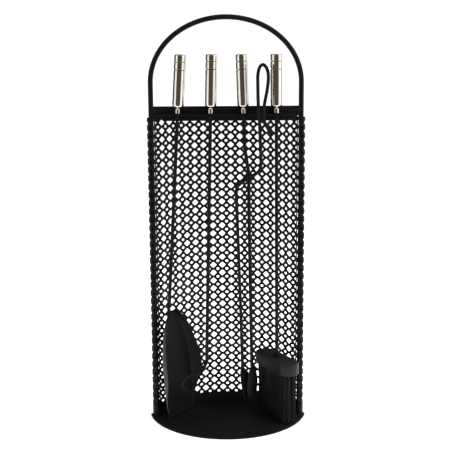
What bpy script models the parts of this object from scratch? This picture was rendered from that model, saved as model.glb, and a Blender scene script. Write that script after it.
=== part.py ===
"""Fireplace tool set: a stand with a perforated screen, and four hanging tools.

Lengths are in millimetres until a mesh is made, which is in metres. +X is to the right, -Y is the
open front, +Z is up, and the origin is on the floor under the middle of the stand.
"""
import math

import bmesh
import bpy
from mathutils import Matrix, Vector

MM = 0.001
GAP = 0.3                       # clearance between pieces that touch

# stand
LEG_Y = 22.5                    # the plane of the two legs
LEG_X = 117.5
BAR_R = 4.0
ARCH_SPRING_Z = 546.0
ARCH_RISE = 100.0
BASE_X = 127.5
BASE_FRONT = 105.0              # bulge of the base in front of the legs, and behind them
BASE_BACK = 60.0
BASE_T = 2.0
LIP_R_OUT = 147.5
LIP_T = 1.2
LIP_X = 106.0
LIP_Z = 19.0
SCREEN_SAGITTA = 57.7
SCREEN_R = (LEG_X ** 2 + SCREEN_SAGITTA ** 2) / (2 * SCREEN_SAGITTA)
SCREEN_Y = LEG_Y + SCREEN_SAGITTA - SCREEN_R
SCREEN_T = 1.2
SCREEN_TOP_Z = 492.0
HEM_R = 6.2                     # middle of the sheet where it is rolled round a leg
HEM_RUN = 20.0                  # length over which the sheet leaves its arc for the hem
HEM_TURN = math.radians(285)

# rack across the legs
PLATE_Y = LEG_Y - BAR_R - 0.4
PLATE_T = 1.6
PLATE_Z = (487.0, 493.0, 510.0)
SHELF_Z = 496.0
SHELF_T = 1.6
SHELF_X = 109.0
SHELF_FRONT_Y = LEG_Y - 24.0
SLOT_R = 4.25
SLOT_Y = LEG_Y - 16.0
SLOT_X = {"shovel": -75.0, "poker": -24.0, "tongs": 27.0, "brush": 78.0}
HANG_Z = SHELF_Z + SHELF_T

# tools: how far each rod leans to the right and to the back on its way down, in degrees
LEAN = {"shovel": (-3.5, 2.2), "poker": (-1.45, 0.0), "tongs": (1.9, 0.0), "brush": (0.28, 0.0)}
ROD_R = 2.8
BORE_R = 3.25
ROD_TOP = 85.5                  # heights above the shelf, along a rod
COLLAR_R = 5.0
COLLAR_H = 1.4
GRIP_R = 8.9
GRIP_CONE_Z = 12.4
RING_Z = (69.4, 81.1)
CAP_TOP = 91.9
CAP_BORE_TOP = 86.0

# shovel pan
PAN_Z = 178.0
PAN_LENGTH = 169.0
PAN_YAW = math.radians(56)      # from +X to the pan's width direction
PAN_TILT = math.radians(6)
PAN_FLARE = math.radians(25)
PAN_T = 1.5
PAN_WIDEST = 92.0
PAN_WALL = [(0, 8), (35, 13.5), (85, 19), (100, 19), (150, 3), (169, 1.5)]
PAN_ROUND = 22.0                # how far down the rounded top reaches
PAN_LAP = 42.0                  # length of rod behind the pan

# tongs, in the leaned frame of their rod
PIVOT = (4.7, -98.0)
PIVOT_R = 6.5
RIVET_R = 2.0
LOOP_R = 2.6
LOOP_ROOM_Y = -14.0             # the loop hangs in front of the shelf
LOOP_PIVOT_Y = -6.2
JAW_TOP = -410.6
JAW_H = 52.0
JAW_HALF = 11.5
JAW_T = 2.4
JAW_TWIST = math.radians(48)

# brush
BLOCK_TOP = -392.6
BLOCK_H = 19.0
BLOCK_HALF = (50.0, 17.0)
BLOCK_YAW = math.radians(-60)
BRISTLE_LOW = -491.5
BRISTLE_HALF = (41.0, 14.0)
BRISTLE_FLARE = 3.0
NUT_R = 6.2


def clear_scene():
    for obj in list(bpy.data.objects):
        bpy.data.objects.remove(obj)


def finish_material(name, colour, roughness, metallic):
    material = bpy.data.materials.new(name)
    material.use_nodes = True
    shader = material.node_tree.nodes["Principled BSDF"]
    shader.inputs["Base Color"].default_value = (*colour, 1.0)
    shader.inputs["Roughness"].default_value = roughness
    shader.inputs["Metallic"].default_value = metallic
    return material


def add_object(name, bm, material, parent=None):
    """Turn a bmesh in millimetres into a named object in metres."""
    bmesh.ops.scale(bm, vec=(MM, MM, MM), verts=bm.verts)
    mesh = bpy.data.meshes.new(name)
    bm.to_mesh(mesh)
    bm.free()
    mesh.shade_smooth()
    mesh.set_sharp_from_angle(angle=math.radians(35))
    mesh.materials.append(material)
    obj = bpy.data.objects.new(name, mesh)
    bpy.context.collection.objects.link(obj)
    obj.parent = parent
    return obj


def cutter(name, bm, parent=None):
    """A shape that only a Boolean modifier uses."""
    obj = add_object(name, bm, None, parent)
    obj.hide_render = True
    obj.display_type = "WIRE"
    return obj


def boolean(obj, other, operation):
    modifier = obj.modifiers.new(operation.lower(), "BOOLEAN")
    modifier.object = other
    modifier.operation = operation


def arc(centre, radius, start, end, steps):
    """Points on a circle, from one angle to the other, both included."""
    angles = [start + (end - start) * i / steps for i in range(steps + 1)]
    return [(centre[0] + radius * math.cos(a), centre[1] + radius * math.sin(a)) for a in angles]


def prism(outline, low, high):
    """An outline, anticlockwise in XY, made solid from one height to the other."""
    bm = bmesh.new()
    face = bm.faces.new([bm.verts.new((x, y, low)) for x, y in outline])
    result = bmesh.ops.extrude_face_region(bm, geom=[face])
    raised = [item for item in result["geom"] if isinstance(item, bmesh.types.BMVert)]
    bmesh.ops.translate(bm, vec=(0, 0, high - low), verts=raised)
    bmesh.ops.recalc_face_normals(bm, faces=bm.faces)
    return bm


def turned(profile, sides=24):
    """A closed profile of (radius, height), turned about Z."""
    bm = bmesh.new()
    verts = [bm.verts.new((r, 0, z)) for r, z in profile]
    edges = [bm.edges.new((a, b)) for a, b in zip(verts, verts[1:] + verts[:1])]
    bmesh.ops.spin(bm, geom=verts + edges, cent=(0, 0, 0), axis=(0, 0, 1),
                   angle=math.tau, steps=sides, use_merge=True)
    bmesh.ops.remove_doubles(bm, verts=bm.verts, dist=0.001)
    bmesh.ops.recalc_face_normals(bm, faces=bm.faces)
    return bm


def smooth_path(points, steps):
    """A Catmull-Rom curve through the points."""
    points = [Vector(p) for p in points]
    padded = [2 * points[0] - points[1]] + points + [2 * points[-1] - points[-2]]
    path = []
    for a, b, c, d in zip(padded, padded[1:], padded[2:], padded[3:]):
        for i in range(steps):
            t = i / steps
            path.append(0.5 * (2 * b + (c - a) * t + (2 * a - 5 * b + 4 * c - d) * t * t
                               + (3 * b - a - 3 * c + d) * t ** 3))
    return path + [points[-1]]


def bar(path, radius, sides=10, end_radius=None):
    """A round bar along a path, with flat ends; end_radius narrows the last ring to a point."""
    path = [Vector(p) for p in path]
    tangents = []
    for i in range(len(path)):
        tangents.append((path[min(i + 1, len(path) - 1)] - path[max(i - 1, 0)]).normalized())
    side = tangents[0].orthogonal().normalized()
    bm = bmesh.new()
    rings = []
    for i, (point, tangent) in enumerate(zip(path, tangents)):
        side = (side - tangent * side.dot(tangent)).normalized()
        other = tangent.cross(side)
        size = end_radius if end_radius and i == len(path) - 1 else radius
        ring = []
        for k in range(sides):
            angle = math.tau * k / sides
            ring.append(bm.verts.new(point + size * (side * math.cos(angle) + other * math.sin(angle))))
        rings.append(ring)
    for near, far in zip(rings, rings[1:]):
        for k in range(sides):
            bm.faces.new((near[k], near[(k + 1) % sides], far[(k + 1) % sides], far[k]))
    bm.faces.new(rings[0][::-1])
    bm.faces.new(rings[-1])
    bmesh.ops.recalc_face_normals(bm, faces=bm.faces)
    return bm


# ---- stand

def base_arc_outline():
    """The base: a nearly half-round front and a flatter back, meeting in two corners."""
    front_r = (BASE_X ** 2 + BASE_FRONT ** 2) / (2 * BASE_FRONT)
    back_r = (BASE_X ** 2 + BASE_BACK ** 2) / (2 * BASE_BACK)
    front_y = LEG_Y - BASE_FRONT + front_r
    back_y = LEG_Y + BASE_BACK - back_r
    dip = math.asin((front_y - LEG_Y) / front_r)
    rise = math.asin((LEG_Y - back_y) / back_r)
    front = arc((0, front_y), front_r, math.pi + dip, math.tau - dip, 40)
    back = arc((0, back_y), back_r, rise, math.pi - rise, 24)
    return front + back[1:-1]


def make_base(black):
    base = add_object("base_plate", prism(base_arc_outline(), 0, BASE_T), black)
    end = math.acos(LIP_X / LIP_R_OUT)
    outer = arc((0, SCREEN_Y), LIP_R_OUT, end, math.pi - end, 24)
    inner = arc((0, SCREEN_Y), LIP_R_OUT - LIP_T, math.pi - end, end, 24)
    lip = cutter("base_lip_shape", prism(outer + inner, BASE_T / 2, LIP_Z))
    boolean(base, lip, "UNION")


def screen_middle_line():
    """The middle of the sheet, from the end of the left hem to the end of the right one."""
    reach = math.atan2(LEG_X, LEG_Y - SCREEN_Y)
    run = HEM_RUN / SCREEN_R
    right = []
    for i in range(25):
        angle = reach * i / 24
        if angle > reach - run:
            break
        right.append((angle, SCREEN_R))
    for i in range(5):
        t = i / 4
        right.append((reach - run * (1 - t), SCREEN_R + HEM_R * t * t * (3 - 2 * t)))
    points = [(r * math.sin(a), SCREEN_Y + r * math.cos(a)) for a, r in right]
    back = math.pi / 2 - reach
    hem = arc((LEG_X, LEG_Y), HEM_R, back, back - HEM_TURN, 16)
    points += hem[1:]
    left = [(-x, y) for x, y in points[:0:-1]]
    return left + points


def make_screen(black):
    line = [Vector(p) for p in screen_middle_line()]
    outer, inner = [], []
    for i, point in enumerate(line):
        along = (line[min(i + 1, len(line) - 1)] - line[max(i - 1, 0)]).normalized()
        across = Vector((-along.y, along.x)) * SCREEN_T / 2
        outer.append(point + across)
        inner.append(point - across)
    add_object("perforated_screen", prism(inner + outer[::-1], BASE_T + GAP, SCREEN_TOP_Z), black)


def make_arch(black):
    foot = BASE_T + GAP
    left = [(-LEG_X, LEG_Y, foot), (-LEG_X, LEG_Y, SCREEN_TOP_Z)]
    bow = []
    for i in range(33):
        angle = math.pi * (1 - i / 32)
        bow.append((LEG_X * math.cos(angle), LEG_Y, ARCH_SPRING_Z + ARCH_RISE * math.sin(angle)))
    right = [(-x, y, z) for x, y, z in reversed(left)]
    add_object("carrying_arch", bar(left + bow + right, BAR_R, 12), black)


def make_hanger_plate(black):
    """A strip in front of the legs, cut back low down to pass between the rolled edges."""
    low, step, top = PLATE_Z
    corner = arc((-97, low + 4), 4, math.pi * 1.5, math.pi, 4)
    outline = [(109, low), (109, step), (117.5, step + 3), (121, step + 3), (121, top - 3),
               (117, top), (-117.5, top), (-117.5, step), (-101, step)] + corner[::-1]
    plate = add_object("hanger_plate", prism(outline, 0, PLATE_T), black)
    plate.rotation_euler = (math.pi / 2, 0, 0)
    plate.location = (0, PLATE_Y * MM, 0)


def make_shelf(black):
    """A narrow shelf with one open slot for each rod."""
    outline = [(-SHELF_X, SHELF_FRONT_Y)]
    for x in SLOT_X.values():
        outline.append((x - SLOT_R, SHELF_FRONT_Y))
        outline += arc((x, SLOT_Y), SLOT_R, math.pi, 0, 8)
        outline.append((x + SLOT_R, SHELF_FRONT_Y))
    back_y = PLATE_Y - PLATE_T - GAP
    outline += [(SHELF_X, SHELF_FRONT_Y), (SHELF_X, back_y), (-SHELF_X, back_y)]
    add_object("hanger_shelf", prism(outline, SHELF_Z, HANG_Z), black)


# ---- tools

def make_tool_frame(tool):
    """An empty at the tool's slot, whose -Z runs down the leaned rod."""
    right, back = (math.tan(math.radians(a)) for a in LEAN[tool])
    down = Vector((right, back, -1))
    turn = Vector((0, 0, -1)).rotation_difference(down)
    place = Matrix.Translation(Vector((SLOT_X[tool], SLOT_Y, HANG_Z)) * MM) @ turn.to_matrix().to_4x4()
    frame = bpy.data.objects.new(tool + "_frame", None)
    bpy.context.collection.objects.link(frame)
    frame.matrix_world = place
    return frame, place


def make_handle(tool, frame, steel, black):
    """Collar, grip, ring and cap, stacked on the rod."""
    tilt = math.radians(math.hypot(*LEAN[tool]))
    low = GAP + COLLAR_R * math.sin(tilt)
    collar = [(BORE_R, low), (COLLAR_R, low), (COLLAR_R, low + COLLAR_H), (BORE_R, low + COLLAR_H)]
    add_object(tool + "_collar", turned(collar), black, frame)

    low += COLLAR_H + GAP
    top = RING_Z[0] - GAP
    grip = [(BORE_R, low), (COLLAR_R - 0.8, low), (GRIP_R, GRIP_CONE_Z), (GRIP_R, top - 0.5),
            (GRIP_R - 0.5, top), (BORE_R, top)]
    add_object(tool + "_handle", turned(grip), steel, frame)

    low, top = RING_Z
    ring = [(BORE_R, low), (GRIP_R - 0.5, low), (GRIP_R, low + 0.5), (GRIP_R, top - 0.5),
            (GRIP_R - 0.5, top), (BORE_R, top)]
    add_object(tool + "_ring", turned(ring), steel, frame)

    low = RING_Z[1] + GAP
    cap = [(BORE_R, low), (GRIP_R - 0.5, low), (GRIP_R, low + 0.5), (GRIP_R, CAP_TOP - 1.6),
           (GRIP_R - 0.5, CAP_TOP - 0.5), (GRIP_R - 1.6, CAP_TOP), (0, CAP_TOP),
           (0, CAP_BORE_TOP), (BORE_R, CAP_BORE_TOP)]
    add_object(tool + "_cap", turned(cap), steel, frame)


def pan_half_width(t):
    if t < PAN_WIDEST:
        rest = 1 - min(t / PAN_ROUND, 1)
        return (12 + 25.5 * math.sin(math.pi / 2 * t / PAN_WIDEST)) * math.sqrt(1 - 0.84 * rest * rest)
    return 37.5 - 6.5 * ((t - PAN_WIDEST) / (PAN_LENGTH - PAN_WIDEST)) ** 2


def pan_wall_height(t):
    for (t0, h0), (t1, h1) in zip(PAN_WALL, PAN_WALL[1:]):
        if t <= t1:
            blend = (t - t0) / (t1 - t0)
            return h0 + (h1 - h0) * blend * blend * (3 - 2 * blend)
    return PAN_WALL[-1][1]


def pan_sheet(rows):
    """The pan's upper face: a flat floor with a flared wall round its sides and top.

    x is across the pan, -y is down its length and z is the side the walls stand on.
    """
    bm = bmesh.new()
    grid = []
    for i in range(rows + 1):
        t = PAN_LENGTH * (i / rows) ** 1.4
        half = pan_half_width(t)
        slope = (pan_half_width(t + 1) - pan_half_width(max(t - 1, 0))) / (1 if t < 1 else 2)
        out = Vector((1, slope, 0)).normalized() if i else Vector((1, 1.6, 0)).normalized()
        height = pan_wall_height(t)
        lift = height * math.cos(PAN_FLARE)
        spread = out * height * math.sin(PAN_FLARE)
        row = []
        for side in (-1, 1):
            foot = Vector((side * half, -t, 0))
            rim = foot + Vector((side * spread.x, spread.y, lift))
            row += [rim, foot] if side < 0 else [foot, rim]
        grid.append([bm.verts.new(v) for v in row])
    for near, far in zip(grid, grid[1:]):
        for k in range(3):
            bm.faces.new((near[k], far[k], far[k + 1], near[k + 1]))
    bm.faces.new(grid[0])
    bmesh.ops.recalc_face_normals(bm, faces=bm.faces)
    if next(f for f in bm.faces if abs(f.normal.z) > 0.99).normal.z < 0:
        bmesh.ops.reverse_faces(bm, faces=bm.faces)
    return bm


def pan_matrix(place):
    """Where the pan's floor begins: in front of the rod, turned to the right."""
    width = Vector((math.cos(PAN_YAW), math.sin(PAN_YAW), 0))
    open_side = Vector((width.y, -width.x, 0))
    up = Vector((0, 0, 1)) * math.cos(PAN_TILT) - open_side * math.sin(PAN_TILT)
    normal = width.cross(up)
    rod_down = place.to_3x3() @ Vector((0, 0, -1))
    start = place.translation / MM
    axis_point = start + rod_down * (start.z - PAN_Z) / -rod_down.z
    origin = axis_point + normal * (ROD_R + GAP + PAN_T)
    turn = Matrix((width, up, normal)).transposed().to_4x4()
    return Matrix.Translation(origin * MM) @ turn


def make_shovel(steel, black):
    frame, place = make_tool_frame("shovel")
    make_handle("shovel", frame, steel, black)
    pan_world = pan_matrix(place)
    pan = add_object("shovel_pan", pan_sheet(20), black, frame)
    pan.matrix_local = place.inverted() @ pan_world
    wall = pan.modifiers.new("sheet", "SOLIDIFY")
    wall.thickness = PAN_T * MM
    wall.offset = -1
    wall.use_even_offset = True

    behind = -(ROD_R + GAP + PAN_T)
    to_rod = place.inverted() @ pan_world
    bend = [to_rod @ (Vector((0, y, behind)) * MM) / MM for y in (6, 0, -PAN_LAP)]
    path = [(0, 0, ROD_TOP), (0, 0, bend[0].z + 12)] + smooth_path(bend, 3)
    add_object("shovel_rod", bar(path, ROD_R), black, frame)


def make_poker(steel, black):
    frame, _ = make_tool_frame("poker")
    make_handle("poker", frame, steel, black)
    low = -400.0
    hook = [(0, 0, 12), (0, 0, 0), (-4, -4, -9), (-12, -11, -16.5), (-25, -22, -18), (-34, -29, -20.5),
            (-38, -32, -29), (-35, -29, -38), (-26, -23, -46)]
    route = smooth_path([(x, y, z + low) for x, y, z in hook], 3)
    path = [(0, 0, ROD_TOP), (0, 0, low + 60)] + route
    add_object("poker_rod", bar(path, ROD_R, end_radius=0.8), black, frame)


def pivot_disc(radius, front, back):
    """A disc on the pivot's axis, between two depths."""
    bm = bmesh.new()
    bmesh.ops.create_cone(bm, segments=20, radius1=radius, radius2=radius, depth=back - front,
                          cap_ends=True)
    bmesh.ops.rotate(bm, verts=bm.verts, matrix=Matrix.Rotation(math.pi / 2, 3, "X"))
    bmesh.ops.translate(bm, verts=bm.verts, vec=(PIVOT[0], (front + back) / 2, PIVOT[1]))
    return bm


def add_eye(arm, depth, half, frame):
    """A flat boss with a hole, where an arm turns on the rivet."""
    boss = cutter(arm.name + "_boss_shape", pivot_disc(PIVOT_R, depth - half, depth + half), frame)
    hole = cutter(arm.name + "_hole_shape", pivot_disc(RIVET_R + GAP, depth - 9, depth + 9), frame)
    boolean(arm, boss, "UNION")
    boolean(arm, hole, "DIFFERENCE")


def jaw_sheet(side, x_top, x_middle, x_bottom, depth):
    """One jaw: an oval spoon, hollow towards the other jaw."""
    across = Vector((math.sin(JAW_TWIST), math.cos(JAW_TWIST), 0))
    outward = Vector((math.cos(JAW_TWIST), -math.sin(JAW_TWIST), 0)) * side
    bm = bmesh.new()
    grid = []
    rows, columns = 12, 6
    for i in range(rows + 1):
        t = i / rows
        middle = x_top * (1 - t) * (1 - 2 * t) + x_middle * 4 * t * (1 - t) + x_bottom * t * (2 * t - 1)
        half = JAW_HALF * math.sqrt(max(1 - ((t - 0.55) / 0.56) ** 2, 0.09))
        centre = Vector((middle, depth, JAW_TOP - JAW_H * t))
        row = []
        for k in range(columns + 1):
            a = 2 * k / columns - 1
            row.append(bm.verts.new(centre + across * half * a + outward * (1 - a * a) * half * 0.22))
        grid.append(row)
    for near, far in zip(grid, grid[1:]):
        for k in range(columns):
            face = (near[k], near[k + 1], far[k + 1], far[k])
            bm.faces.new(face if side > 0 else face[::-1])
    return bm


def make_jaw(name, frame, black, side, x_top, x_middle, x_bottom, depth):
    jaw = add_object(name, jaw_sheet(side, x_top, x_middle, x_bottom, depth), black, frame)
    wall = jaw.modifiers.new("sheet", "SOLIDIFY")
    wall.thickness = JAW_T * MM
    wall.offset = 0
    wall.use_even_offset = True


def make_tongs(steel, black):
    frame, _ = make_tool_frame("tongs")
    make_handle("tongs", frame, steel, black)
    jaw_room = JAW_T / 2 + GAP + 1.2

    bend = smooth_path([(0, 0, -40), (0.8, 0, -58), (4.4, 0, -88), (4.7, 0, -98), (4.3, 0, -112),
                        (3.1, 0, -157)], 2)
    fixed = [(0, 0, ROD_TOP)] + bend + [(-0.8, 0, -386), (-1.2, 0, JAW_TOP + jaw_room)]
    arm = add_object("tongs_fixed_arm", bar(fixed, ROD_R), black, frame)
    add_eye(arm, 0, ROD_R, frame)

    front, pivot = LOOP_ROOM_Y, LOOP_PIVOT_Y
    tail = [(42, front, -32), (34, front, -17), (31, front, -8), (31, front, 2)]
    loop = [(32.4, front, 15), (36.5, front, 33), (39.4, front, 50), (39.6, front, 62), (37, front, 71),
            (32.1, front, 75.5), (27, front, 71.5), (24.2, front, 62), (23.4, front, 50), (23, front, 15),
            (24, front, -10)]
    crank = [(24.2, front + 1, -40), (24.4, pivot - 1, -74), (22.5, pivot, -86), (15, pivot, -93),
             (4.7, pivot, -98), (-8, pivot, -106.5), (-14.6, pivot, -114), (-15.8, pivot, -127)]
    shank = [(-15.7, pivot + 0.4, -160), (-15.8, -4, -320), (-16.2, -2.5, -385)]
    path = smooth_path(tail + loop + crank, 3) + shank + [(-16.4, -2, JAW_TOP + jaw_room)]
    arm = add_object("tongs_loop_arm", bar(path, LOOP_R), black, frame)
    add_eye(arm, pivot, LOOP_R, frame)

    make_jaw("tongs_fixed_jaw", frame, black, 1, -1.2, -1.5, -4, -1)
    make_jaw("tongs_loop_jaw", frame, black, -1, -16.4, -10.5, -9.6, -1.5)

    face = pivot - LOOP_R - GAP
    washer = add_object("pivot_washer", pivot_disc(5.0, face - 1.0, face), black, frame)
    hole = cutter("washer_hole_shape", pivot_disc(RIVET_R + GAP, face - 2, face + 1), frame)
    boolean(washer, hole, "DIFFERENCE")
    face -= 1.0 + GAP
    rivet = add_object("pivot_rivet", pivot_disc(4.2, face - 1.8, face), black, frame)
    tail_face = ROD_R + GAP
    shank_shape = cutter("rivet_shank_shape", pivot_disc(RIVET_R, face - 1, tail_face + 1), frame)
    tail_shape = cutter("rivet_tail_shape", pivot_disc(3.8, tail_face, tail_face + 1.6), frame)
    boolean(rivet, shank_shape, "UNION")
    boolean(rivet, tail_shape, "UNION")


def stadium(half_length, half_width, steps=8):
    middle = half_length - half_width
    right = arc((middle, 0), half_width, -math.pi / 2, math.pi / 2, steps)
    left = arc((-middle, 0), half_width, math.pi / 2, math.pi * 1.5, steps)
    return right + left


def make_brush(steel, black, bristle):
    frame, _ = make_tool_frame("brush")
    make_handle("brush", frame, steel, black)
    rod_end = BLOCK_TOP - 11.5
    add_object("brush_rod", bar([(0, 0, ROD_TOP), (0, 0, rod_end)], ROD_R), black, frame)

    block = add_object("brush_block", prism(stadium(*BLOCK_HALF), BLOCK_TOP - BLOCK_H, BLOCK_TOP), black, frame)
    block.rotation_euler = (0, 0, BLOCK_YAW)
    hole = cutter("block_hole_shape", prism(arc((0, 0), BORE_R, 0, math.tau * 15 / 16, 15),
                                            BLOCK_TOP - 12, BLOCK_TOP + 5), frame)
    boolean(block, hole, "DIFFERENCE")

    low = BLOCK_TOP + GAP
    nut = add_object("brush_nut", prism(arc((0, 0), NUT_R, 0, math.tau * 5 / 6, 5), low, low + 5.7), black, frame)
    hole = cutter("nut_hole_shape", prism(arc((0, 0), BORE_R, 0, math.tau * 15 / 16, 15), low - 1, low + 7), frame)
    boolean(nut, hole, "DIFFERENCE")

    top = BLOCK_TOP - BLOCK_H - GAP
    upper = stadium(*BRISTLE_HALF)
    lower = stadium(BRISTLE_HALF[0] + BRISTLE_FLARE, BRISTLE_HALF[1] + BRISTLE_FLARE)
    bm = bmesh.new()
    high_ring = [bm.verts.new((x, y, top)) for x, y in upper]
    low_ring = [bm.verts.new((x, y, BRISTLE_LOW)) for x, y in lower]
    count = len(high_ring)
    for k in range(count):
        after = (k + 1) % count
        bm.faces.new((low_ring[k], low_ring[after], high_ring[after], high_ring[k]))
    bm.faces.new(high_ring)
    bm.faces.new(low_ring[::-1])
    bristles = add_object("brush_bristles", bm, bristle, frame)
    bristles.rotation_euler = (0, 0, BLOCK_YAW)


def main():
    clear_scene()
    black = finish_material("black_satin_steel", (0.012, 0.012, 0.011), 0.42, 0.0)
    steel = finish_material("polished_steel", (0.62, 0.60, 0.57), 0.22, 1.0)
    bristle = finish_material("black_bristle", (0.014, 0.014, 0.013), 0.6, 0.0)
    make_base(black)
    make_screen(black)
    make_arch(black)
    make_hanger_plate(black)
    make_shelf(black)
    make_shovel(steel, black)
    make_poker(steel, black)
    make_tongs(steel, black)
    make_brush(steel, black, bristle)


main()
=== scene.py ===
# %% [markdown]
# # A fireplace tool set, finished piece by piece
# The set is a black sheet-steel stand with a perforated screen, and a shovel, a poker, tongs and a brush
# that hang in it by their polished grips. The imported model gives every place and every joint.
# This script gives the pieces their fine shapes and their finishes.

# %% Load the frame
import math
import random

import bmesh
import bpy
import numpy as np
from mathutils import Matrix, Vector


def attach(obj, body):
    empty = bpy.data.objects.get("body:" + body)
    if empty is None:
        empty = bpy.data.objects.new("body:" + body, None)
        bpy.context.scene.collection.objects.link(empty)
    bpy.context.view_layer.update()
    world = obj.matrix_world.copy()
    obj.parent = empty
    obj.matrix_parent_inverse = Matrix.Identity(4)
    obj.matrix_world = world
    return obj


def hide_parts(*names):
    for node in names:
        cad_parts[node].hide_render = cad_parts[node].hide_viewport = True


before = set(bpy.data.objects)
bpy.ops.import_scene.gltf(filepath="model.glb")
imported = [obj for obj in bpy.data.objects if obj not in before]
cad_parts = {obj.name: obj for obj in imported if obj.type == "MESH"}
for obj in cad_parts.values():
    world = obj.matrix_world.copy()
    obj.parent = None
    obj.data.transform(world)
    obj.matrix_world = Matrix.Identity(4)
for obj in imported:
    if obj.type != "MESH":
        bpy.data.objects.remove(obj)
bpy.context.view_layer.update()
MM = 0.001

# %% [markdown]
# ## Camera
# The set is seen from the front, a little above its grips, from about a metre and a half away.
# A long lens from there keeps the legs nearly parallel. The camera has no shift and no depth of field.

# %% Camera
LENS = 79.3
CAMERA_PLACE = (0.0004, -1.5464, 0.6278)
CAMERA_DOWN, CAMERA_TURN = 11.21, -0.36          # degrees
camera_data = bpy.data.cameras.new("camera")
camera_data.sensor_width = 36
camera_data.lens = LENS
camera = bpy.data.objects.new("camera", camera_data)
bpy.context.collection.objects.link(camera)
look_down = Matrix.Rotation(math.radians(90 - CAMERA_DOWN), 4, "X")
roll = Matrix.Rotation(math.radians(CAMERA_TURN), 4, "Z")
camera.matrix_world = Matrix.Translation(CAMERA_PLACE) @ look_down @ roll
bpy.context.scene.camera = camera
bpy.context.scene.view_settings.view_transform = "Standard"

# %% [markdown]
# ## Studio
# Polished steel shows its surroundings, so the studio matters as much as the steel does. A studio for
# small round metal parts is dark behind the camera and white on both sides, which draws a dark stripe
# between two white bands on each grip. The sky here does the same in what polished parts mirror: its
# brightness follows the compass direction. Everything else gets an even white light. The set stands on
# a plain pale floor.

# %% Sky
world = bpy.data.worlds.new("studio")
world.use_nodes = True
bpy.context.scene.world = world
sky_nodes = world.node_tree.nodes
sky_links = world.node_tree.links
sky_nodes.clear()


def sky_node(kind, **settings):
    node = sky_nodes.new(kind)
    for name, value in settings.items():
        setattr(node, name, value)
    return node


direction = sky_node("ShaderNodeTexCoord")
split = sky_node("ShaderNodeSeparateXYZ")
sky_links.new(direction.outputs["Generated"], split.inputs[0])
compass = sky_node("ShaderNodeMath", operation="ARCTAN2")
sky_links.new(split.outputs["X"], compass.inputs[0])
minus_y = sky_node("ShaderNodeMath", operation="MULTIPLY")
minus_y.inputs[1].default_value = -1
sky_links.new(split.outputs["Y"], minus_y.inputs[0])
sky_links.new(minus_y.outputs[0], compass.inputs[1])
to_unit = sky_node("ShaderNodeMapRange")
to_unit.inputs["From Min"].default_value = -math.pi
to_unit.inputs["From Max"].default_value = math.pi
sky_links.new(compass.outputs[0], to_unit.inputs["Value"])
ramp = sky_node("ShaderNodeValToRGB")
sky_links.new(to_unit.outputs[0], ramp.inputs[0])
# degrees round from the camera's side, positive to the right, and how bright the room is there
SKY = [(-180, 0.02), (-98, 0.03), (-86, 0.9), (-56, 1.0), (-47, 0.10), (-40, 0.062), (12, 0.055),
       (40, 0.075), (50, 1.0), (126, 1.15), (138, 0.38), (180, 0.03)]
WHITE_LIGHT, DARK_ROOM = (1, 0.97, 0.93), (1, 0.88, 0.62)
DARK_WITHIN = 48                 # degrees to each side of the camera that take the dark room's tint
MIRRORED_SKY, EVEN_SKY = 1.25, 1.12
stops = ramp.color_ramp.elements
while len(stops) < len(SKY):
    stops.new(0.5)
for stop, (degrees, level) in zip(stops, SKY):
    stop.position = (degrees + 180) / 360
    tint = DARK_ROOM if abs(degrees) < DARK_WITHIN else WHITE_LIGHT
    stop.color = (*(level * part for part in tint), 1)

mirrored = sky_node("ShaderNodeBackground")
mirrored.inputs["Strength"].default_value = MIRRORED_SKY
sky_links.new(ramp.outputs[0], mirrored.inputs["Color"])
soft = sky_node("ShaderNodeBackground")
soft.inputs["Color"].default_value = (1, 1, 1, 1)
soft.inputs["Strength"].default_value = EVEN_SKY
path_kind = sky_node("ShaderNodeLightPath")
choose = sky_node("ShaderNodeMixShader")
sky_links.new(path_kind.outputs["Is Glossy Ray"], choose.inputs[0])
sky_links.new(soft.outputs[0], choose.inputs[1])
sky_links.new(mirrored.outputs[0], choose.inputs[2])
sky_out = sky_node("ShaderNodeOutputWorld")
sky_links.new(choose.outputs[0], sky_out.inputs["Surface"])

# %% Floor and lamps
FLOOR_SIZE, FLOOR_FRONT = 3.6, -0.4        # its front edge stops short, so the grips don't mirror it
bpy.ops.mesh.primitive_plane_add(size=FLOOR_SIZE, location=(0, FLOOR_FRONT + FLOOR_SIZE / 2, -0.0002))
floor = bpy.context.object
floor.name = "floor"
floor_finish = bpy.data.materials.new("pale_floor")
floor_finish.use_nodes = True
floor_shader = floor_finish.node_tree.nodes["Principled BSDF"]
floor_shader.inputs["Base Color"].default_value = (0.93, 0.93, 0.93, 1)
floor_shader.inputs["Roughness"].default_value = 0.9
floor_shader.inputs["Specular IOR Level"].default_value = 0.0
floor.data.materials.append(floor_finish)


def add_lamp(name, place, size, power):
    """A large square lamp that faces the middle of the set and isn't mirrored in the grips."""
    data = bpy.data.lights.new(name, "AREA")
    data.size = size
    data.energy = power
    lamp = bpy.data.objects.new(name, data)
    lamp.visible_glossy = False
    bpy.context.collection.objects.link(lamp)
    aim = Vector((0, 0, 0.3)) - Vector(place)
    lamp.matrix_world = Matrix.Translation(place) @ aim.to_track_quat("-Z", "Y").to_matrix().to_4x4()


add_lamp("lamp_right", (1.6, -1.3, 1.5), 0.8, 30)
add_lamp("lamp_left", (-1.6, -1.3, 1.2), 0.8, 6)
add_lamp("lamp_top", (0.2, 0.3, 2.4), 1.2, 40)
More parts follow.
